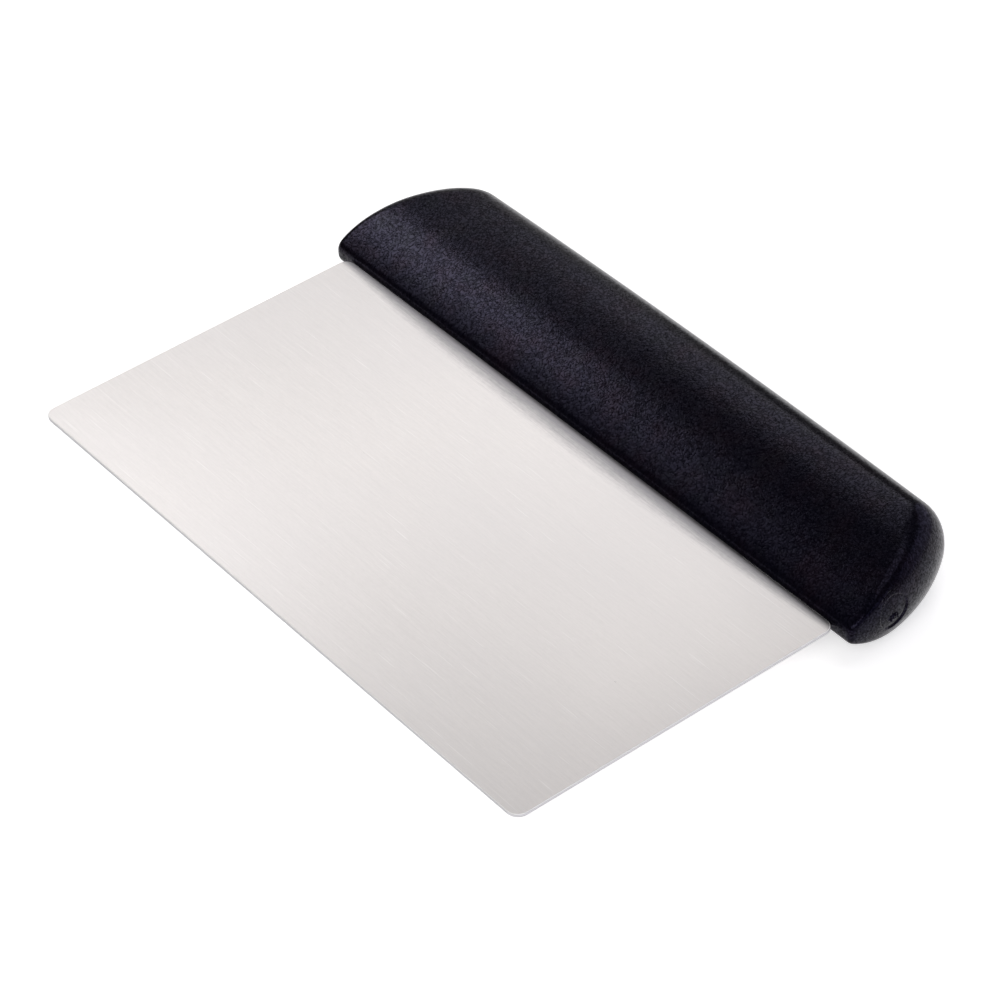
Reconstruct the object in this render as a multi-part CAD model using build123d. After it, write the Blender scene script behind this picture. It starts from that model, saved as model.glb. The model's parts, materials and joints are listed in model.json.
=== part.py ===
"""Bench scraper: a stainless steel sheet blade with a plastic handle moulded onto its tang.

Working frame, in which both pieces are drawn: X runs along the handle, Y from the cutting
edge towards the back of the handle with y = 0 at the handle's nose, and Z is square to the
sheet with z = 0 at its middle.

Finished frame, in which both pieces are written: the scraper rests on a bench at z = 0 on
its cutting edge and on the handle's belly, +Z is up, X still runs along the handle, and the
origin is on the bench below the middle of the whole object.
"""

from build123d import *
import math
import os

# Blade, in millimetres
BLADE_LENGTH = 152.4
BLADE_REACH = 77.9
SHEET_THICKNESS = 0.9
FRONT_CORNER_RADIUS = 2.6
SHOULDER_CORNER_RADIUS = 2.4
EDGE_BREAK = 0.12

# Tang, the part of the sheet inside the handle
TANG_WIDTH = 100.0
TANG_DEPTH = 23.0
TANG_CORNER_RADIUS = 4.0
LOCK_HOLE_COUNT = 4
LOCK_HOLE_DIAMETER = 9.0
LOCK_HOLE_PITCH = 25.0

# Handle section: a teardrop that is narrow at the nose and round at the back
NOSE_HEIGHT = 3.7
NOSE_EDGE_RADIUS = 2.4
HANDLE_THICKNESS = 19.0
WIDEST_FROM_NOSE = 26.5
HANDLE_DEPTH = 34.0
BACK_BULGE = 1.6

# Handle ends: each is the edge of a disc with a round rim
HANDLE_LENGTH = 162.3
LONGEST_FROM_NOSE = 8.1
END_DISC_RADIUS = 37.9
END_RIM_RADIUS = 11.6
END_EDGE_ROUNDING = 1.8

# Scar of the injection gate, on the handle's right-hand end
GATE_FROM_NOSE = 10.8
GATE_ABOVE_SHEET = 0.75
GATE_RECESS_RADIUS = 3.8
GATE_RECESS_DEPTH = 0.45
GATE_STUB_LENGTH = 2.4
GATE_STUB_WIDTH = 1.1
GATE_STUB_HEIGHT = 0.5
GATE_STUB_DROP = 1.2

# Values worked out from the ones above
HALF_SHEET = SHEET_THICKNESS / 2
HALF_NOSE = NOSE_HEIGHT / 2
HALF_THICKNESS = HANDLE_THICKNESS / 2
HALF_LENGTH = HANDLE_LENGTH / 2

# How far a cutting shape runs past what it cuts
SPARE = 4.0


def blade():
    """The whole steel sheet: the working plate with its two shoulders, and the tang with its lock holes."""
    plate = Pos(0, -BLADE_REACH / 2) * Rectangle(BLADE_LENGTH, BLADE_REACH)
    front = plate.vertices().group_by(Axis.Y)[0]
    plate = fillet(front, FRONT_CORNER_RADIUS)
    shoulders = plate.vertices().group_by(Axis.Y)[-1]
    plate = fillet(shoulders, SHOULDER_CORNER_RADIUS)

    tang = Pos(0, TANG_DEPTH / 2) * Rectangle(TANG_WIDTH, TANG_DEPTH)
    tang = fillet(tang.vertices().group_by(Axis.Y)[-1], TANG_CORNER_RADIUS)
    holes = Pos(0, TANG_DEPTH / 2) * GridLocations(LOCK_HOLE_PITCH, 1, LOCK_HOLE_COUNT, 1)
    tang -= holes * Circle(LOCK_HOLE_DIAMETER / 2)

    sheet = extrude(plate + tang, HALF_SHEET, both=True)
    outline = [
        edge
        for edge in sheet.edges().filter_by_position(Axis.Y, -BLADE_REACH, 0)
        if abs(abs(edge.center().Z) - HALF_SHEET) < 1e-6
    ]
    return chamfer(outline, EDGE_BREAK)


def handle_section(x):
    """The teardrop at x: a nose with rounded edges, two flank arcs and a half ellipse round the back."""
    bulge = BACK_BULGE * (1 - (x / HALF_LENGTH) ** 2)
    back_reach = HANDLE_DEPTH - WIDEST_FROM_NOSE + bulge
    nose_top = (0, HALF_NOSE)
    nose_bottom = (0, -HALF_NOSE)
    nose = Line(nose_bottom, nose_top)
    upper_flank = TangentArc((WIDEST_FROM_NOSE, HALF_THICKNESS), nose_top, tangent=(-1, 0))
    lower_flank = TangentArc((WIDEST_FROM_NOSE, -HALF_THICKNESS), nose_bottom, tangent=(-1, 0))
    back = EllipticalCenterArc((WIDEST_FROM_NOSE, 0), back_reach, HALF_THICKNESS, -90, arc_size=180)
    teardrop = make_face(nose + upper_flank + lower_flank + back)
    nose_edges = teardrop.vertices().group_by(Axis.X)[0]
    return Plane.YZ.offset(x) * fillet(nose_edges, NOSE_EDGE_RADIUS)


def end_envelope():
    """What the bar is trimmed to: two round-rimmed discs, one for each end, and a block that joins them."""
    core_radius = END_DISC_RADIUS - END_RIM_RADIUS
    disc = Cylinder(core_radius, 2 * END_RIM_RADIUS) + Torus(core_radius, END_RIM_RADIUS)
    disc_x = HALF_LENGTH - END_DISC_RADIUS
    block = Box(2 * disc_x, 2 * END_DISC_RADIUS, 2 * END_RIM_RADIUS)
    return Pos(0, LONGEST_FROM_NOSE) * (block + Pos(disc_x) * disc + Pos(-disc_x) * disc)


def handle_body():
    """The moulding without its blade: a teardrop bar with a bowed back, domed ends and softened end edges."""
    bar = loft([handle_section(x) for x in (-HALF_LENGTH - SPARE, 0, HALF_LENGTH + SPARE)])
    body = bar & end_envelope()
    end_edges = [edge for edge in body.edges() if edge.bounding_box().size.X < HALF_LENGTH / 2]
    return fillet(end_edges, END_EDGE_ROUNDING)


def gate_scar():
    """The recess that the gate leaves in the right-hand end, and the broken stub that stands in it."""
    off_centre = GATE_FROM_NOSE - LONGEST_FROM_NOSE
    face_x = HALF_LENGTH - END_DISC_RADIUS + math.sqrt(END_DISC_RADIUS**2 - off_centre**2)
    slope = math.degrees(math.asin(off_centre / END_DISC_RADIUS))
    seat = Pos(face_x, GATE_FROM_NOSE, GATE_ABOVE_SHEET) * Rot(0, 0, slope) * Rot(0, 90, 0)
    floor = seat * Pos(0, 0, -GATE_RECESS_DEPTH)
    recess = floor * extrude(Circle(GATE_RECESS_RADIUS), 2 * GATE_RECESS_DEPTH)
    stub_outline = Pos(GATE_STUB_DROP, 0) * Rot(0, 0, 90) * SlotOverall(GATE_STUB_LENGTH, GATE_STUB_WIDTH)
    stub = floor * extrude(stub_outline, GATE_STUB_HEIGHT, taper=12)
    return recess, stub


def handle(sheet):
    """The moulding: it fills round the tang and through the lock holes, so the two never part."""
    recess, stub = gate_scar()
    return handle_body() - recess + stub - sheet


def rest_angle():
    """The tilt, in degrees, at which the cutting edge and the handle's belly both reach the bench.

    The belly is the lower flank arc, which is the same all along the handle. Its lowest point lies
    straight below the arc's centre, and the tilt is where that point is level with the cutting edge.
    """
    rise = HALF_THICKNESS - HALF_NOSE
    flank_radius = (WIDEST_FROM_NOSE**2 + rise**2) / (2 * rise)
    run = WIDEST_FROM_NOSE + BLADE_REACH - EDGE_BREAK
    lift = flank_radius - HALF_THICKNESS + HALF_SHEET
    return math.degrees(math.asin(flank_radius / math.hypot(run, lift)) - math.atan2(lift, run))


def main():
    sheet = blade()
    pieces = {"blade": sheet, "handle": handle(sheet)}
    tilt = Rot(rest_angle(), 0, 0)
    tilted = {name: tilt * piece for name, piece in pieces.items()}
    box = tilted["blade"].bounding_box().add(tilted["handle"].bounding_box())
    to_origin = Pos(-box.center().X, -box.center().Y, -box.min.Z)

    os.makedirs("parts", exist_ok=True)
    for name, piece in tilted.items():
        export_step(to_origin * piece, f"parts/{name}.step")


main()
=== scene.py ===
"""Looks for the bench scraper: brushed steel on the CAD blade, a finely meshed moulded handle in place of the
CAD handle, a pale floor, soft studio light and the camera.

Handle frame, in millimetres: x along the handle, y from its nose towards its back, z square to the
blade, with z = 0 at the middle of the sheet. HANDLE_TO_ROW turns it into the row frame, in metres.
"""
import json
import math
import bpy
import numpy as np
from mathutils import Matrix, Vector, noise


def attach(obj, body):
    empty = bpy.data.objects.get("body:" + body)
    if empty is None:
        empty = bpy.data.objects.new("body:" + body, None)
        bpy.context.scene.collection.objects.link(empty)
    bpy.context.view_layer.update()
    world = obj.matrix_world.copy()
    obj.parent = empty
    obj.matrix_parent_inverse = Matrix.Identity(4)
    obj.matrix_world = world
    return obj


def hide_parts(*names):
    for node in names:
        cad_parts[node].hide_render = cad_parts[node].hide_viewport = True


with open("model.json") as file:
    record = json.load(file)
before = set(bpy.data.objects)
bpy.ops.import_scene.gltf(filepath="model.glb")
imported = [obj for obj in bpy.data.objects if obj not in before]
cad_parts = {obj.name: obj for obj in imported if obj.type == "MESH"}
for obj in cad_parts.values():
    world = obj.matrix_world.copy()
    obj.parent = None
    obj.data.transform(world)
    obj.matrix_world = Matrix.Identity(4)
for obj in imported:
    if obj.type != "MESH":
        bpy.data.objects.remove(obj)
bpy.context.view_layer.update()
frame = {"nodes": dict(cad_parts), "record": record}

MM = 0.001

# The blade, in millimetres: how far the cutting edge lies in front of the handle's nose
BLADE_REACH = 77.9
BLADE_HALF_LENGTH = 76.2

# Handle section: a flat nose, two flank arcs and half an ellipse round the back
HALF_NOSE = 1.85
HALF_THICKNESS = 9.5
WIDEST_FROM_NOSE = 26.5
HANDLE_DEPTH = 34.0
BACK_REACH = HANDLE_DEPTH - WIDEST_FROM_NOSE
BACK_BULGE = 1.6
NOSE_ROUNDING = 1.35

# Handle ends: each is the edge of a disc with a round rim
HALF_LENGTH = 81.15
LONGEST_FROM_NOSE = 8.1
END_DISC_RADIUS = 37.9
END_RIM_RADIUS = 11.6
END_ROUNDING_AT_NOSE = 1.3
END_ROUNDING_AT_BACK = 3.6

# Scar of the injection gate, on the right-hand end
GATE_FROM_NOSE = 10.8
GATE_ABOVE_SHEET = 0.75
GATE_RECESS_RADIUS = 3.8
GATE_RECESS_DEPTH = 0.32
GATE_WALL = 0.2
STUB_HALF_LENGTH = 0.6
STUB_RADIUS = 0.7
STUB_WALL = 0.15
STUB_HEIGHT = 0.5
STUB_DROP = 1.2

# Mesh steps of the handle
SURFACE_STEP = 0.42
SCAR_STEP = 0.12
SCAR_FIELD = 4.6
SCAR_FADE = 1.0
ROUNDING_STEPS = 8
CORNER_START = 5.0
CORNER_ROUNDS = 12

# Moulded grain in the mesh. It fades out towards the nose and is weaker on the gate's scar
GRAIN_DEPTH = 0.01
GRAIN_PER_MM = 0.85
GRAIN_FREE_NOSE = 0.3
GRAIN_FULL_FROM_NOSE = 2.5
GRAIN_LOST_ON_SCAR = 0.7
END_REGION = 3.0

# Painted reflection of the dark handle: a streaky dark band painted on the steel beside the handle; its width
# at the middle and at the blade's ends
PAINTED_REFLECTION_WIDTH = 6.3
PAINTED_REFLECTION_WIDTH_AT_ENDS = 2.4
PAINTED_REFLECTION_STRENGTH = 0.62

# The steel's marks, each as cells per metre along x, y and z: long thin cells make brush lines
FINE_LINES = (170, 4200, 4200)
MEDIUM_LINES = (60, 1500, 1500)
BROAD_LINES = (9, 60, 60)
SPECKLE = (900, 2200, 2200)
CLOUDS = (22, 22, 22)
SCRATCHES = (90, 4200, 4200)

# The plastic's grain and mottle, in cells per metre
SAND = (2100, 2100, 2100)
WORMS = (1300, 1300, 1300)
PINK_MOTTLE = (110, 110, 110)
GREY_MOTTLE = (150, 150, 150)

# The floor: how far below the object it lies, so that the two never share a face, and how much
# brighter than its lit colour the camera sees it
FLOOR_GAP = 0.1
FLOOR_HALF_SIZE = 4.0
FLOOR_LIFT = 0.55

# Studio light
DOME_STRENGTH = 0.16
LEFT_WALL = -0.6
WARM = (1.0, 0.99, 0.985)
COOL = (0.72, 0.70, 1.0)

# Camera: it looks at the aim from this distance and direction
CAMERA_AIM = Vector((0.54, 0.89, 0.0)) * MM
CAMERA_DISTANCE = 790.6 * MM
CAMERA_AZIMUTH = math.radians(49.447)
CAMERA_ELEVATION = math.radians(37.618)
CAMERA_ROLL = math.radians(2.618)
CAMERA_LENS = 142.92
CAMERA_SENSOR = 36.0


# ---------------------------------------------------------------- the handle's frame

edge_mount = frame["record"]["mounts"][0]
FORWARD = Vector(edge_mount["axis"]).normalized()
ALONG = Vector((1, 0, 0))
BACKWARD = -FORWARD
UPWARD = ALONG.cross(BACKWARD)
NOSE = Vector(edge_mount["pos_m"]) + BACKWARD * BLADE_REACH * MM
HANDLE_TO_ROW = Matrix((
    (ALONG.x, BACKWARD.x, UPWARD.x, NOSE.x),
    (ALONG.y, BACKWARD.y, UPWARD.y, NOSE.y),
    (ALONG.z, BACKWARD.z, UPWARD.z, NOSE.z),
    (0, 0, 0, 1),
)) @ Matrix.Scale(MM, 4)


# ---------------------------------------------------------------- handle shape

def smoothstep(low, high, value):
    share = np.clip((value - low) / (high - low), 0, 1)
    return share * share * (3 - 2 * share)


def bend(start, corner, end, steps):
    """Points strictly between start and end on the curve that the corner pulls towards itself."""
    for k in range(1, steps):
        t = k / steps
        yield (1 - t) ** 2 * start + 2 * t * (1 - t) * corner + t**2 * end


def section():
    """Loop of (y, z, share of the back's bulge) from the middle of the nose over the top and back below."""
    rise = HALF_THICKNESS - HALF_NOSE
    flank_radius = (WIDEST_FROM_NOSE**2 + rise**2) / (2 * rise)
    nose_angle = math.asin(WIDEST_FROM_NOSE / flank_radius)
    first_angle = nose_angle - NOSE_ROUNDING / flank_radius

    def flank(angle):
        y = WIDEST_FROM_NOSE - flank_radius * math.sin(angle)
        z = HALF_THICKNESS - flank_radius * (1 - math.cos(angle))
        return np.array((y, z, 0.0))

    corner = np.array((0.0, HALF_NOSE, 0.0))
    below_corner = np.array((0.0, HALF_NOSE - NOSE_ROUNDING, 0.0))
    upper = [np.zeros(3)]
    upper += [below_corner * share for share in (0.5, 1.0)]
    upper += bend(below_corner, corner, flank(first_angle), ROUNDING_STEPS)
    flank_steps = round(nose_angle * flank_radius / SURFACE_STEP)
    upper += [flank(angle) for angle in np.linspace(first_angle, 0, flank_steps)]
    quarter_round = math.pi / 2 * (BACK_REACH + HALF_THICKNESS) / 2
    for angle in np.linspace(math.pi / 2, 0, round(quarter_round / SURFACE_STEP))[1:]:
        y = WIDEST_FROM_NOSE + BACK_REACH * math.cos(angle)
        upper.append(np.array((y, HALF_THICKNESS * math.sin(angle), math.cos(angle))))
    upper = np.array(upper)
    lower = upper[-2:0:-1] * (1, -1, 1)
    return np.concatenate((upper, lower))


def bulged(loop, x):
    """(y, z) of the section's points at x, where the back stands out by the bulge there."""
    bulge = BACK_BULGE * (1 - (x / HALF_LENGTH) ** 2)
    return loop[:, 0] + loop[:, 2] * bulge, loop[:, 1]


def end_x(y, z):
    """How far out the right-hand end's surface lies at (y, z)."""
    radius = END_DISC_RADIUS - END_RIM_RADIUS + np.sqrt(END_RIM_RADIUS**2 - z**2)
    centre_x = HALF_LENGTH - END_DISC_RADIUS
    return centre_x + np.sqrt(radius**2 - (y - LONGEST_FROM_NOSE) ** 2)


def gate_scar(y, z):
    """How far the gate's recess and its broken stub move the right-hand end's surface outwards."""
    z = z - GATE_ABOVE_SHEET
    from_centre = np.hypot(y - GATE_FROM_NOSE, z)
    recess = 1 - smoothstep(GATE_RECESS_RADIUS - GATE_WALL, GATE_RECESS_RADIUS, from_centre)
    along_stub = np.maximum(np.abs(y - GATE_FROM_NOSE) - STUB_HALF_LENGTH, 0)
    from_stub = np.hypot(along_stub, z + STUB_DROP)
    stub = 1 - smoothstep(STUB_RADIUS - STUB_WALL, STUB_RADIUS + STUB_WALL, from_stub)
    broken_top = 0.6 + 0.6 * np.sin(5.1 * y + 1.3 * z) * np.cos(4.3 * z + 1.7 * y)
    return GATE_RECESS_DEPTH * -recess + STUB_HEIGHT * stub * broken_top


def handle_rings():
    """The handle as rings of equal length, from the middle of its left end to the middle of its right end."""
    loop = section()
    corner_x = np.full(len(loop), HALF_LENGTH - CORNER_START)
    for _ in range(CORNER_ROUNDS):
        corner_x = end_x(*bulged(loop, corner_x))
    corner_y, corner_z = bulged(loop, corner_x)
    corner = np.stack((corner_x, corner_y, corner_z), 1)
    share_back = np.clip(corner_y / HANDLE_DEPTH, 0, 1)
    rounding = END_ROUNDING_AT_NOSE + (END_ROUNDING_AT_BACK - END_ROUNDING_AT_NOSE) * share_back**2

    last_x = corner_x - rounding
    bar = []
    for share in np.linspace(-1, 1, round(2 * HALF_LENGTH / SURFACE_STEP)):
        x = share * last_x
        bar.append(np.stack((x, *bulged(loop, x)), 1))

    outward = np.stack((corner_y - GATE_FROM_NOSE, corner_z - GATE_ABOVE_SHEET), 1)
    distance = np.linalg.norm(outward, axis=1)
    outward /= distance[:, None]
    reach = distance - rounding

    def cap_ring(radii, scarred):
        y = GATE_FROM_NOSE + outward[:, 0] * radii
        z = GATE_ABOVE_SHEET + outward[:, 1] * radii
        x = end_x(y, z)
        if scarred:
            x = x + gate_scar(y, z)
        return np.stack((x, y, z), 1)

    def end_rings(scarred):
        """From the bar's last ring round the edge and over the end to its middle."""
        rings = list(bend(bar[-1], corner, cap_ring(reach, scarred), ROUNDING_STEPS))
        steps = round((reach.mean() - SCAR_FIELD) / SURFACE_STEP)
        for share in np.linspace(1, 0, steps, endpoint=False):
            rings.append(cap_ring(SCAR_FIELD + share * (reach - SCAR_FIELD), scarred))
        for radius in np.linspace(SCAR_FIELD, 0, round(SCAR_FIELD / SCAR_STEP), endpoint=False):
            rings.append(cap_ring(np.full(len(loop), radius), scarred))
        return rings

    left = [ring * (-1, 1, 1) for ring in reversed(end_rings(False))]
    return np.array(left + bar + end_rings(True))


def joined_rings(rings):
    """Points and faces of a closed skin: neighbouring rings in quads, and a fan over each end."""
    count, around = rings.shape[:2]
    points = rings.reshape(-1, 3)
    middles = [(ring[:, 0].mean(), GATE_FROM_NOSE, GATE_ABOVE_SHEET) for ring in (rings[0], rings[-1])]
    points = np.concatenate((points, middles))

    index = np.arange(count * around).reshape(count, around)
    after = np.roll(index, -1, axis=1)
    quads = np.stack((index[:-1], after[:-1], after[1:], index[1:]), -1).reshape(-1, 4)
    first = count * around
    last = first + 1
    fans = [(first, b, a) for a, b in zip(index[0], after[0])]
    fans += [(last, a, b) for a, b in zip(index[-1], after[-1])]
    return points, quads.tolist() + fans


def grain(point):
    """0 to 1: the moulded leathery grain at a point, given in millimetres."""
    place = Vector(point) * GRAIN_PER_MM
    warp = Vector((noise.noise(place * 0.5), noise.noise(place * 0.5 + Vector((7, 3, 1))), 0))
    folds = 1 - abs(noise.noise(place + warp * 1.2)) * 2.2
    fine = noise.noise(place * 2.7) * 0.25
    return min(max(folds + fine, 0.0), 1.0)


def grain_move(points):
    """How far the grain moves each of the handle's points along its normal: inwards, so never positive."""
    height = np.array([grain(point) for point in points])
    clear_of_nose = smoothstep(GRAIN_FREE_NOSE, GRAIN_FULL_FROM_NOSE, points[:, 1])
    from_gate = np.hypot(points[:, 1] - GATE_FROM_NOSE, points[:, 2] - GATE_ABOVE_SHEET)
    on_scar = 1 - smoothstep(SCAR_FIELD - SCAR_FADE, SCAR_FIELD, from_gate)
    on_scar *= points[:, 0] > HALF_LENGTH - END_REGION
    return -GRAIN_DEPTH * (1 - height) * clear_of_nose * (1 - GRAIN_LOST_ON_SCAR * on_scar)


def build_handle():
    points, faces = joined_rings(handle_rings())
    mesh = bpy.data.meshes.new("handle_moulding")
    mesh.from_pydata(points.tolist(), [], faces)
    mesh.update()
    normals = np.empty(len(points) * 3, np.float32)
    mesh.vertices.foreach_get("normal", normals)
    normals = normals.reshape(-1, 3).astype(float)
    points = points + normals * grain_move(points)[:, None]

    mesh.vertices.foreach_set("co", points.astype(np.float32).ravel())
    mesh.transform(HANDLE_TO_ROW)
    mesh.polygons.foreach_set("use_smooth", np.ones(len(mesh.polygons), bool))
    mesh.update()
    piece = bpy.data.objects.new("handle_moulding", mesh)
    bpy.context.scene.collection.objects.link(piece)
    return piece


# ---------------------------------------------------------------- shader nodes

def add(tree, kind, inputs=(), **attributes):
    """A node with its attributes set, and each input either linked or given a value."""
    made = tree.nodes.new(kind)
    for name, value in attributes.items():
        setattr(made, name, value)
    for key, value in dict(inputs).items():
        if isinstance(value, bpy.types.NodeSocket):
            tree.links.new(value, made.inputs[key])
        else:
            made.inputs[key].default_value = value
    return made


def new_material(name):
    """An empty material, its node tree, and the place on the object that its patterns start from."""
    material = bpy.data.materials.new(name)
    material.use_nodes = True
    tree = material.node_tree
    tree.nodes.clear()
    place = add(tree, "ShaderNodeTexCoord").outputs["Object"]
    return material, tree, place


def noise_at(tree, place, per_metre, detail=3.0, roughness=0.5, offset=(0, 0, 0), turn=(0, 0, 0)):
    """Noise around 0.5, with its own number of cells per metre along each axis."""
    mapped = add(tree, "ShaderNodeMapping",
                 {"Vector": place, "Location": offset, "Rotation": turn, "Scale": per_metre})
    made = add(tree, "ShaderNodeTexNoise",
               {"Vector": mapped.outputs["Vector"], "Scale": 1.0, "Detail": detail, "Roughness": roughness})
    return made.outputs["Fac"]


def ranged(tree, value, low, high, to_low, to_high, smooth=False):
    """The value moved from the range low..high to to_low..to_high, and held inside it."""
    made = add(tree, "ShaderNodeMapRange",
               {"Value": value, "From Min": low, "From Max": high, "To Min": to_low, "To Max": to_high})
    made.interpolation_type = "SMOOTHSTEP" if smooth else "LINEAR"
    return made.outputs["Result"]


def calculated(tree, operation, first, second=0.0):
    return add(tree, "ShaderNodeMath", {0: first, 1: second}, operation=operation).outputs["Value"]


def weighted_sum(tree, *terms):
    """The sum of values times weights, given as (value, weight) pairs."""
    value, weight = terms[0]
    total = calculated(tree, "MULTIPLY", value, weight)
    for value, weight in terms[1:]:
        total = calculated(tree, "ADD", total, calculated(tree, "MULTIPLY", value, weight))
    return total


def along_axis(tree, vector, axis):
    return add(tree, "ShaderNodeVectorMath", {0: vector, 1: axis}, operation="DOT_PRODUCT").outputs["Value"]


def mixed(tree, share, first, second):
    return add(tree, "ShaderNodeMix", {0: share, 6: first, 7: second}, data_type="RGBA").outputs[2]


def rgb(red, green, blue):
    return (red, green, blue, 1.0)


def finished(material, tree, inputs):
    """The material, closed with a principled shader that has these inputs."""
    shader = add(tree, "ShaderNodeBsdfPrincipled", inputs)
    add(tree, "ShaderNodeOutputMaterial", {"Surface": shader.outputs["BSDF"]})
    return material


# ---------------------------------------------------------------- materials

def painted_handle_reflection(tree, place, streaks):
    """0 to 1: a painted reflection, the streaky dark band painted on the steel beside the handle where it
    mirrors the dark moulding.
    """
    ahead = calculated(tree, "SUBTRACT", along_axis(tree, place, FORWARD), FORWARD.dot(NOSE))
    along = add(tree, "ShaderNodeSeparateXYZ", {"Vector": place}).outputs["X"]
    along = calculated(tree, "DIVIDE", along, BLADE_HALF_LENGTH * MM)
    along_squared = calculated(tree, "MULTIPLY", along, along)
    narrowing = calculated(tree, "MULTIPLY", along_squared, (PAINTED_REFLECTION_WIDTH - PAINTED_REFLECTION_WIDTH_AT_ENDS) * MM)
    width = calculated(tree, "SUBTRACT", PAINTED_REFLECTION_WIDTH * MM, narrowing)
    depth = calculated(tree, "DIVIDE", ahead, width)
    depth = calculated(tree, "ADD", depth, ranged(tree, streaks, 0.3, 0.7, -0.16, 0.16))
    return ranged(tree, depth, 0.15, 1.0, 1.0, 0.0, smooth=True)


def flatness(tree):
    """1 on the sheet's two flat sides, 0.7 on the break along its edges and 0 on the edge faces."""
    normal = add(tree, "ShaderNodeNewGeometry").outputs["True Normal"]
    return calculated(tree, "ABSOLUTE", along_axis(tree, normal, UPWARD))


def steel_colour(tree, place, streaks, clouds):
    """The sheet's colour: streaks, clouds, short light scratches and the painted reflection of the dark
    handle.
    """
    scratch_lines = noise_at(tree, place, SCRATCHES, detail=0.0, offset=(4, 4, 4), turn=(0, 0, 0.03))
    scratches = ranged(tree, scratch_lines, 0.76, 0.82, 0.0, 1.0)
    level = ranged(tree, streaks, 0.3, 0.7, 0.0, 1.0)
    colour = mixed(tree, level, rgb(0.665, 0.641, 0.636), rgb(0.765, 0.737, 0.73))
    colour = mixed(tree, ranged(tree, clouds, 0.35, 0.7, 0.0, 0.35), colour, rgb(0.72, 0.70, 0.71))
    colour = mixed(tree, calculated(tree, "MULTIPLY", scratches, 0.3), colour, rgb(0.96, 0.94, 0.94))
    # Painted reflection: beside the handle the steel's colour is mixed towards near black
    reflection_share = calculated(tree, "MULTIPLY", painted_handle_reflection(tree, place, streaks), PAINTED_REFLECTION_STRENGTH)
    return mixed(tree, reflection_share, colour, rgb(0.05, 0.05, 0.08))


def steel():
    """Stainless sheet, brushed along the handle, with faint scratches, a few specks, a painted reflection of
    the handle beside it and paler cut edges whose break carries a painted highlight.
    """
    material, tree, place = new_material("brushed_blade_steel")
    fine = noise_at(tree, place, FINE_LINES, detail=4.0, roughness=0.7)
    medium = noise_at(tree, place, MEDIUM_LINES, detail=2.0, offset=(3, 5, 2))
    broad = noise_at(tree, place, BROAD_LINES, detail=2.0, offset=(1, 8, 4))
    clouds = noise_at(tree, place, CLOUDS, detail=2.0, offset=(6, 1, 9))
    speckle = noise_at(tree, place, SPECKLE, detail=2.0, offset=(7, 2, 3))
    streaks = weighted_sum(tree, (fine, 0.50), (medium, 0.22), (broad, 0.06), (speckle, 0.22))

    flat = flatness(tree)
    edge = ranged(tree, flat, 0.80, 0.98, 1.0, 0.0)
    # Painted highlight: the break along the sheet's edges is painted near white, and the edge faces get a pale
    # lavender grey
    break_highlight_share = ranged(tree, flat, 0.2, 0.5, 0.0, 1.0)
    edge_and_highlight_colour = mixed(tree, break_highlight_share, rgb(0.76, 0.75, 0.77), rgb(0.99, 0.98, 0.98))
    colour = mixed(tree, edge, steel_colour(tree, place, streaks, clouds), edge_and_highlight_colour)

    roughness = ranged(tree, streaks, 0.3, 0.7, 0.28, 0.35)
    roughness = calculated(tree, "ADD", roughness, ranged(tree, clouds, 0.3, 0.7, -0.015, 0.015))
    roughness = calculated(tree, "ADD", roughness, calculated(tree, "MULTIPLY", edge, 0.35))
    bump = add(tree, "ShaderNodeBump", {"Height": streaks, "Strength": 0.35, "Distance": 0.00001})
    across = add(tree, "ShaderNodeCombineXYZ", {"X": 0.0, "Y": 1.0, "Z": 0.0})
    return finished(material, tree, {
        "Base Color": colour,
        "Metallic": ranged(tree, edge, 0.0, 1.0, 1.0, 0.4),
        "Roughness": roughness,
        "Anisotropic": 0.7,
        "Normal": bump.outputs["Normal"],
        "Tangent": across.outputs["Vector"],
    })


def plastic():
    """Black moulded plastic with a fine sandy grain and a faint violet, pink and grey mottle in its shine."""
    material, tree, place = new_material("moulded_handle_plastic")
    sand = noise_at(tree, place, SAND, detail=2.0, roughness=0.6, offset=(5, 2, 8))
    worms = noise_at(tree, place, WORMS, detail=1.0, offset=(9, 9, 1))
    from_ridge = calculated(tree, "ABSOLUTE", calculated(tree, "SUBTRACT", worms, 0.5))
    worms = ranged(tree, from_ridge, 0.0, 0.16, 0.0, 1.0)
    height = weighted_sum(tree, (sand, 0.6), (worms, 0.4))

    pink = noise_at(tree, place, PINK_MOTTLE, detail=4.0, roughness=0.65, offset=(2, 7, 5))
    grey = noise_at(tree, place, GREY_MOTTLE, detail=4.0, roughness=0.65, offset=(8, 3, 6))
    tint = mixed(tree, ranged(tree, pink, 0.48, 0.66, 0.0, 0.7), rgb(0.60, 0.56, 1.0), rgb(0.80, 0.57, 0.96))
    tint = mixed(tree, ranged(tree, grey, 0.50, 0.68, 0.0, 0.6), tint, rgb(0.66, 0.70, 0.95))
    colour = mixed(tree, ranged(tree, pink, 0.4, 0.7, 0.0, 1.0),
                   rgb(0.0012, 0.0010, 0.0030), rgb(0.0026, 0.0013, 0.0030))
    bump = add(tree, "ShaderNodeBump", {"Height": height, "Strength": 1.0, "Distance": 0.00002})
    return finished(material, tree, {
        "Base Color": colour,
        "Roughness": ranged(tree, sand, 0.3, 0.7, 0.16, 0.24),
        "Specular IOR Level": ranged(tree, height, 0.25, 0.75, 0.02, 0.25),
        "Specular Tint": tint,
        "Normal": bump.outputs["Normal"],
    })


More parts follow.
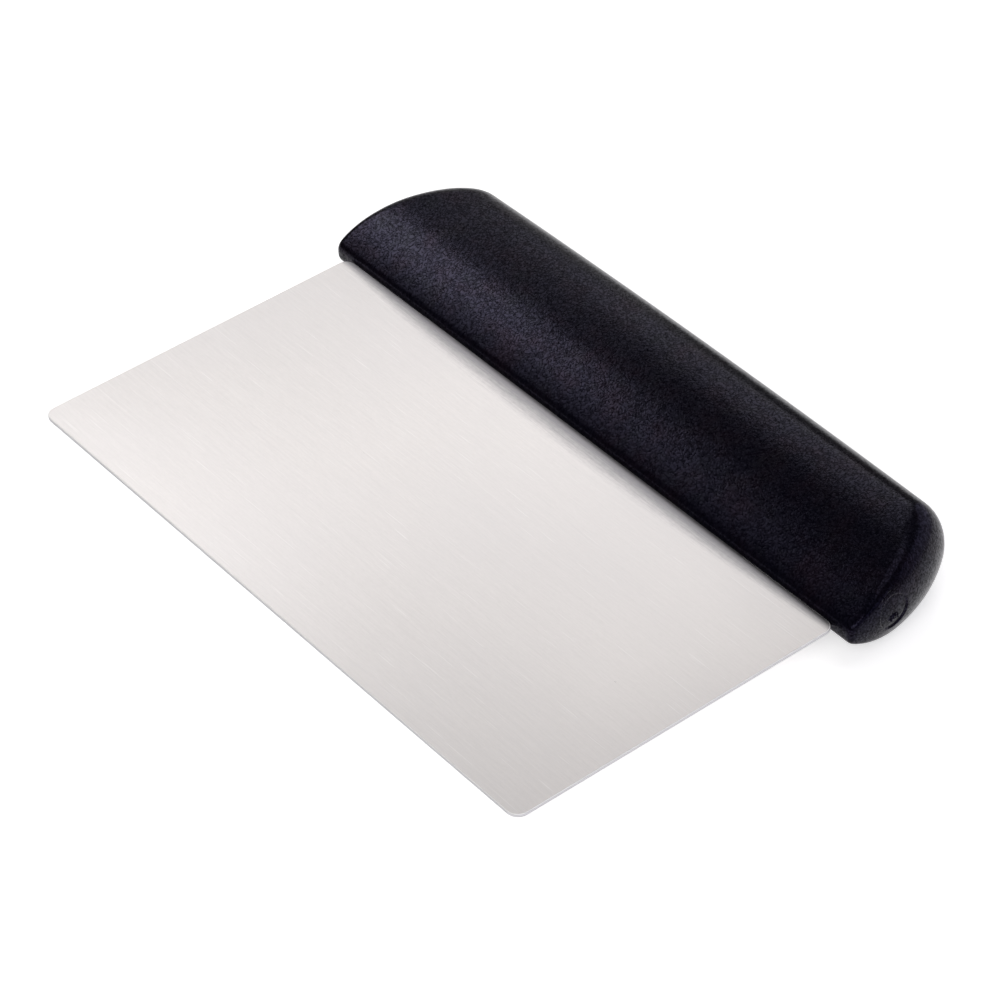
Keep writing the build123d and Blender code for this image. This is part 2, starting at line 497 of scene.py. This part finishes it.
def floor_paint():
    """Pale matt board. Its faint glow shows to the camera and in reflections, but adds no soft light."""
    material, tree, place = new_material("pale_floor")
    clouds = noise_at(tree, place, (3, 3, 3), detail=2.0)
    rays = add(tree, "ShaderNodeLightPath")
    seen = calculated(tree, "MAXIMUM", rays.outputs["Is Camera Ray"], rays.outputs["Is Glossy Ray"])
    return finished(material, tree, {
        "Base Color": mixed(tree, clouds, rgb(0.88, 0.88, 0.88), rgb(0.90, 0.90, 0.90)),
        "Roughness": 0.9,
        "Specular IOR Level": 0.1,
        "Emission Color": rgb(1.0, 1.0, 1.0),
        "Emission Strength": calculated(tree, "MULTIPLY", seen, FLOOR_LIFT),
    })


def paint(piece, material):
    piece.data.materials.clear()
    piece.data.materials.append(material)


# ---------------------------------------------------------------- stage, light and camera

def floor():
    half = FLOOR_HALF_SIZE
    corners = [(x * half, y * half, -FLOOR_GAP * MM) for x, y in ((-1, -1), (1, -1), (1, 1), (-1, 1))]
    mesh = bpy.data.meshes.new("floor")
    mesh.from_pydata(corners, [], [(0, 1, 2, 3)])
    piece = bpy.data.objects.new("floor", mesh)
    bpy.context.scene.collection.objects.link(piece)
    paint(piece, floor_paint())


def studio_world():
    """An even, dim dome; the camera itself sees plain white."""
    world = bpy.data.worlds.new("studio")
    bpy.context.scene.world = world
    world.use_nodes = True
    tree = world.node_tree
    tree.nodes.clear()
    seen = add(tree, "ShaderNodeLightPath").outputs["Is Camera Ray"]
    light = add(tree, "ShaderNodeBackground", {"Color": rgb(1.0, 0.985, 0.965), "Strength": DOME_STRENGTH})
    backdrop = add(tree, "ShaderNodeBackground", {"Color": rgb(1.0, 1.0, 1.0), "Strength": 1.0})
    mix = add(tree, "ShaderNodeMixShader",
              {0: seen, 1: light.outputs["Background"], 2: backdrop.outputs["Background"]})
    add(tree, "ShaderNodeOutputWorld", {"Surface": mix.outputs["Shader"]})


def panel(name, centre, width, height, facing, radiance, colour=WARM):
    """A rectangular softbox, level from side to side, with an even glow. Places and sizes are in metres."""
    lamp = bpy.data.lights.new(name, "AREA")
    lamp.shape = "RECTANGLE"
    lamp.size = width
    lamp.size_y = height
    lamp.energy = math.pi * width * height * radiance
    lamp.color = colour
    rig = bpy.data.objects.new(name, lamp)
    rig.location = centre
    rig.rotation_mode = "QUATERNION"
    rig.rotation_quaternion = Vector(facing).to_track_quat("-Z", "Y")
    bpy.context.scene.collection.objects.link(rig)


def left_wall_panel(name, y_range, z_range, radiance):
    """One softbox of the upright wall of them at the object's left, all facing right."""
    centre = (LEFT_WALL, sum(y_range) / 2, sum(z_range) / 2)
    width = y_range[1] - y_range[0]
    height = z_range[1] - z_range[0]
    panel("left_" + name, centre, width, height, facing=(1, 0, 0), radiance=radiance)


def studio_light():
    """A bright key at the left, softer fill round it, a bright panel at the front right and a dim surround."""
    left_wall_panel("key", y_range=(-0.20, 0.04), z_range=(0.45, 0.78), radiance=4.8)
    left_wall_panel("middle", y_range=(0.04, 0.38), z_range=(0.55, 0.74), radiance=1.2)
    left_wall_panel("low_fill", y_range=(0.10, 0.80), z_range=(0.02, 0.55), radiance=0.6)
    left_wall_panel("high_fill", y_range=(0.38, 0.95), z_range=(0.55, 0.96), radiance=1.7)
    left_wall_panel("front", y_range=(-0.37, -0.20), z_range=(0.35, 1.00), radiance=1.0)
    panel("back", centre=(0.2, 0.9, 0.35), width=1.2, height=0.6, facing=(-0.2, -1, -0.2),
          radiance=0.6, colour=COOL)
    panel("right", centre=(1.0, 0.2, 0.35), width=0.8, height=0.5, facing=(-1, -0.2, -0.3),
          radiance=0.5, colour=COOL)
    panel("front_right", centre=(0.7, -0.8, 0.8), width=0.8, height=0.8, facing=(-0.7, 0.8, -0.8),
          radiance=4.0)
    panel("overhead", centre=(0.0, 0.3, 1.4), width=1.0, height=1.0, facing=(0, -0.2, -1.4),
          radiance=0.9)


def camera():
    back = Vector((
        math.sin(CAMERA_AZIMUTH) * math.cos(CAMERA_ELEVATION),
        -math.cos(CAMERA_AZIMUTH) * math.cos(CAMERA_ELEVATION),
        math.sin(CAMERA_ELEVATION),
    ))
    data = bpy.data.cameras.new("camera")
    data.sensor_width = CAMERA_SENSOR
    data.lens = CAMERA_LENS
    rig = bpy.data.objects.new("camera", data)
    level = (-back).to_track_quat("-Z", "Y").to_matrix()
    rolled = level @ Matrix.Rotation(CAMERA_ROLL, 3, "Z")
    rig.matrix_world = Matrix.Translation(CAMERA_AIM + back * CAMERA_DISTANCE) @ rolled.to_4x4()
    bpy.context.scene.collection.objects.link(rig)
    bpy.context.scene.camera = rig


# ---------------------------------------------------------------- putting it together

handle = build_handle()
paint(handle, plastic())
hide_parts("handle")
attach(handle, "root")

blade = frame["nodes"]["blade"]
paint(blade, steel())

floor()
studio_world()
studio_light()
camera()
bpy.context.scene.view_settings.view_transform = "Standard"
